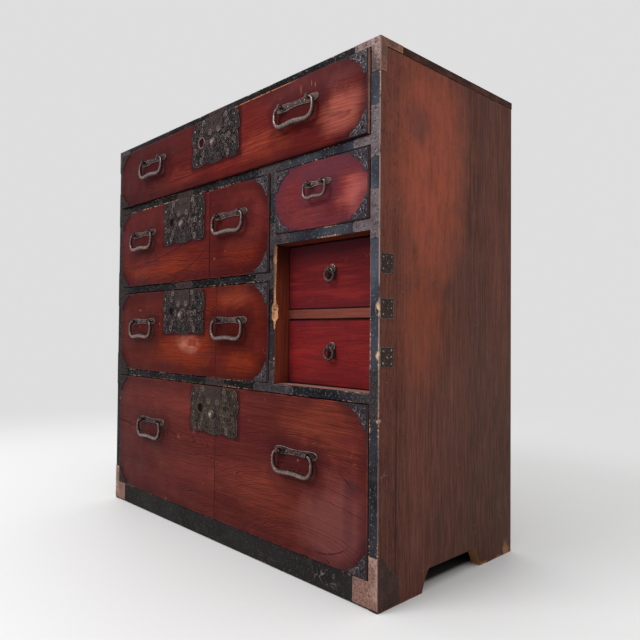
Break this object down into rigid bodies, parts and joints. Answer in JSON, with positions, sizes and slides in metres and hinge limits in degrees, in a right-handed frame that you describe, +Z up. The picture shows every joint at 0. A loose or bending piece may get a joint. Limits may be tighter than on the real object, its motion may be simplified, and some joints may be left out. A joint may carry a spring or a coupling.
{
  "type": "choba tansu chest",
  "caption": "Merchant's chest of drawers in red and black lacquered wood, with iron lock plates, bail handles, corner irons and an open compartment with inner drawers.",
  "frame": {"origin": "on the floor under the middle of the whole chest's box, handles included", "axes": "+Z up, the front faces -Y, +X is to the right as seen from the front"},
  "size_m": [0.912, 0.4338, 0.913],
  "materials": {
    "front_lacquer": "deep red-brown transparent lacquer over open-grained wood, worn and stained round the handles",
    "inner_lacquer": "crimson lacquer, less worn",
    "side_lacquer": "brown-red lacquer over upright grain, dull and scuffed",
    "black_lacquer": "black lacquer, chipped at the edges",
    "brown_wood": "plain brown stained wood",
    "bare_wood": "bare light wood, darkened with age",
    "wrought_iron": "dark wrought iron with worn bright edges",
    "rusty_iron": "sheet iron with a brown rust skin"
  },
  "bodies": {
    "case": {"side_panel_left": "side_lacquer", "side_panel_right": "side_lacquer", "top_board": "black_lacquer", "back_panel": "bare_wood", "bottom_board": "bare_wood", "base_rail": "black_lacquer", "lower_shelf": "black_lacquer", "middle_shelf": "black_lacquer", "upper_shelf": "black_lacquer", "right_shelf": "black_lacquer", "divider": "black_lacquer", "inner_shelf": "brown_wood", "corner_iron_top_left": "rusty_iron", "corner_iron_top_right": "rusty_iron", "corner_iron_bottom_left": "rusty_iron", "corner_iron_bottom_right": "rusty_iron"},
    "top_drawer": {"top_drawer_front": "front_lacquer", "top_drawer_box": "bare_wood", "top_drawer_lock_plate": "wrought_iron", "top_drawer_left_handle_plate": "wrought_iron", "top_drawer_right_handle_plate": "wrought_iron"},
    "top_drawer_lock_bolt": {"top_drawer_lock_bolt": "wrought_iron"},
    "top_drawer_left_bail": {"top_drawer_left_bail": "wrought_iron"},
    "top_drawer_right_bail": {"top_drawer_right_bail": "wrought_iron"},
    "left_upper_drawer": {"left_upper_drawer_front": "front_lacquer", "left_upper_drawer_box": "bare_wood", "left_upper_drawer_lock_plate": "wrought_iron", "left_upper_drawer_left_handle_plate": "wrought_iron", "left_upper_drawer_right_handle_plate": "wrought_iron"},
    "left_upper_drawer_lock_bolt": {"left_upper_drawer_lock_bolt": "wrought_iron"},
    "left_upper_drawer_left_bail": {"left_upper_drawer_left_bail": "wrought_iron"},
    "left_upper_drawer_right_bail": {"left_upper_drawer_right_bail": "wrought_iron"},
    "small_drawer": {"small_drawer_front": "front_lacquer", "small_drawer_box": "bare_wood", "small_drawer_handle_plate": "wrought_iron"},
    "small_drawer_bail": {"small_drawer_bail": "wrought_iron"},
    "left_lower_drawer": {"left_lower_drawer_front": "front_lacquer", "left_lower_drawer_box": "bare_wood", "left_lower_drawer_lock_plate": "wrought_iron", "left_lower_drawer_left_handle_plate": "wrought_iron", "left_lower_drawer_right_handle_plate": "wrought_iron"},
    "left_lower_drawer_lock_bolt": {"left_lower_drawer_lock_bolt": "wrought_iron"},
    "left_lower_drawer_left_bail": {"left_lower_drawer_left_bail": "wrought_iron"},
    "left_lower_drawer_right_bail": {"left_lower_drawer_right_bail": "wrought_iron"},
    "bottom_drawer": {"bottom_drawer_front": "front_lacquer", "bottom_drawer_box": "bare_wood", "bottom_drawer_lock_plate": "wrought_iron", "bottom_drawer_left_handle_plate": "wrought_iron", "bottom_drawer_right_handle_plate": "wrought_iron"},
    "bottom_drawer_lock_bolt": {"bottom_drawer_lock_bolt": "wrought_iron"},
    "bottom_drawer_left_bail": {"bottom_drawer_left_bail": "wrought_iron"},
    "bottom_drawer_right_bail": {"bottom_drawer_right_bail": "wrought_iron"},
    "inner_upper_drawer": {"inner_upper_drawer_front": "inner_lacquer", "inner_upper_drawer_box": "bare_wood", "inner_upper_drawer_ring_plate": "wrought_iron"},
    "inner_upper_drawer_ring": {"inner_upper_drawer_ring": "wrought_iron"},
    "inner_lower_drawer": {"inner_lower_drawer_front": "inner_lacquer", "inner_lower_drawer_box": "bare_wood", "inner_lower_drawer_ring_plate": "wrought_iron"},
    "inner_lower_drawer_ring": {"inner_lower_drawer_ring": "wrought_iron"}
  },
  "joints": [
    {"name": "top_drawer_slide", "type": "slide", "parent": "case", "child": "top_drawer", "axis": [0, -1, 0], "range_m": [0, 0.3]},
    {"name": "top_drawer_lock_bolt_slide", "type": "slide", "parent": "top_drawer", "child": "top_drawer_lock_bolt", "axis": [0, 0, 1], "range_m": [0, 0.008]},
    {"name": "top_drawer_left_bail_swing", "type": "hinge", "parent": "top_drawer", "child": "top_drawer_left_bail", "pos_m": [-0.26175, -0.21135, 0.8524], "axis": [-1, 0, 0], "range_deg": [0, 170]},
    {"name": "top_drawer_right_bail_swing", "type": "hinge", "parent": "top_drawer", "child": "top_drawer_right_bail", "pos_m": [0.26175, -0.21135, 0.8524], "axis": [-1, 0, 0], "range_deg": [0, 170]},
    {"name": "left_upper_drawer_slide", "type": "slide", "parent": "case", "child": "left_upper_drawer", "axis": [0, -1, 0], "range_m": [0, 0.3]},
    {"name": "left_upper_drawer_lock_bolt_slide", "type": "slide", "parent": "left_upper_drawer", "child": "left_upper_drawer_lock_bolt", "axis": [0, 0, 1], "range_m": [0, 0.008]},
    {"name": "left_upper_drawer_left_bail_swing", "type": "hinge", "parent": "left_upper_drawer", "child": "left_upper_drawer_left_bail", "pos_m": [-0.31025, -0.20885, 0.6794], "axis": [-1, 0, 0], "range_deg": [0, 170]},
    {"name": "left_upper_drawer_right_bail_swing", "type": "hinge", "parent": "left_upper_drawer", "child": "left_upper_drawer_right_bail", "pos_m": [0.05625, -0.20885, 0.6794], "axis": [-1, 0, 0], "range_deg": [0, 170]},
    {"name": "small_drawer_slide", "type": "slide", "parent": "case", "child": "small_drawer", "axis": [0, -1, 0], "range_m": [0, 0.3]},
    {"name": "small_drawer_bail_swing", "type": "hinge", "parent": "small_drawer", "child": "small_drawer_bail", "pos_m": [0.315, -0.20785, 0.6994], "axis": [-1, 0, 0], "range_deg": [0, 170]},
    {"name": "left_lower_drawer_slide", "type": "slide", "parent": "case", "child": "left_lower_drawer", "axis": [0, -1, 0], "range_m": [0, 0.3]},
    {"name": "left_lower_drawer_lock_bolt_slide", "type": "slide", "parent": "left_lower_drawer", "child": "left_lower_drawer_lock_bolt", "axis": [0, 0, 1], "range_m": [0, 0.008]},
    {"name": "left_lower_drawer_left_bail_swing", "type": "hinge", "parent": "left_lower_drawer", "child": "left_lower_drawer_left_bail", "pos_m": [-0.31025, -0.20785, 0.4624], "axis": [-1, 0, 0], "range_deg": [0, 170]},
    {"name": "left_lower_drawer_right_bail_swing", "type": "hinge", "parent": "left_lower_drawer", "child": "left_lower_drawer_right_bail", "pos_m": [0.05625, -0.20785, 0.4624], "axis": [-1, 0, 0], "range_deg": [0, 170]},
    {"name": "bottom_drawer_slide", "type": "slide", "parent": "case", "child": "bottom_drawer", "axis": [0, -1, 0], "range_m": [0, 0.3]},
    {"name": "bottom_drawer_lock_bolt_slide", "type": "slide", "parent": "bottom_drawer", "child": "bottom_drawer_lock_bolt", "axis": [0, 0, 1], "range_m": [0, 0.008]},
    {"name": "bottom_drawer_left_bail_swing", "type": "hinge", "parent": "bottom_drawer", "child": "bottom_drawer_left_bail", "pos_m": [-0.26175, -0.20735, 0.2234], "axis": [-1, 0, 0], "range_deg": [0, 170]},
    {"name": "bottom_drawer_right_bail_swing", "type": "hinge", "parent": "bottom_drawer", "child": "bottom_drawer_right_bail", "pos_m": [0.26175, -0.20735, 0.2234], "axis": [-1, 0, 0], "range_deg": [0, 170]},
    {"name": "inner_upper_drawer_slide", "type": "slide", "parent": "case", "child": "inner_upper_drawer", "axis": [0, -1, 0], "range_m": [0, 0.27]},
    {"name": "inner_upper_drawer_ring_swing", "type": "hinge", "parent": "inner_upper_drawer", "child": "inner_upper_drawer_ring", "pos_m": [0.315, -0.16935, 0.5524], "axis": [-1, 0, 0], "range_deg": [0, 170]},
    {"name": "inner_lower_drawer_slide", "type": "slide", "parent": "case", "child": "inner_lower_drawer", "axis": [0, -1, 0], "range_m": [0, 0.27]},
    {"name": "inner_lower_drawer_ring_swing", "type": "hinge", "parent": "inner_lower_drawer", "child": "inner_lower_drawer_ring", "pos_m": [0.315, -0.16935, 0.4134], "axis": [-1, 0, 0], "range_deg": [0, 170]}
  ]
}
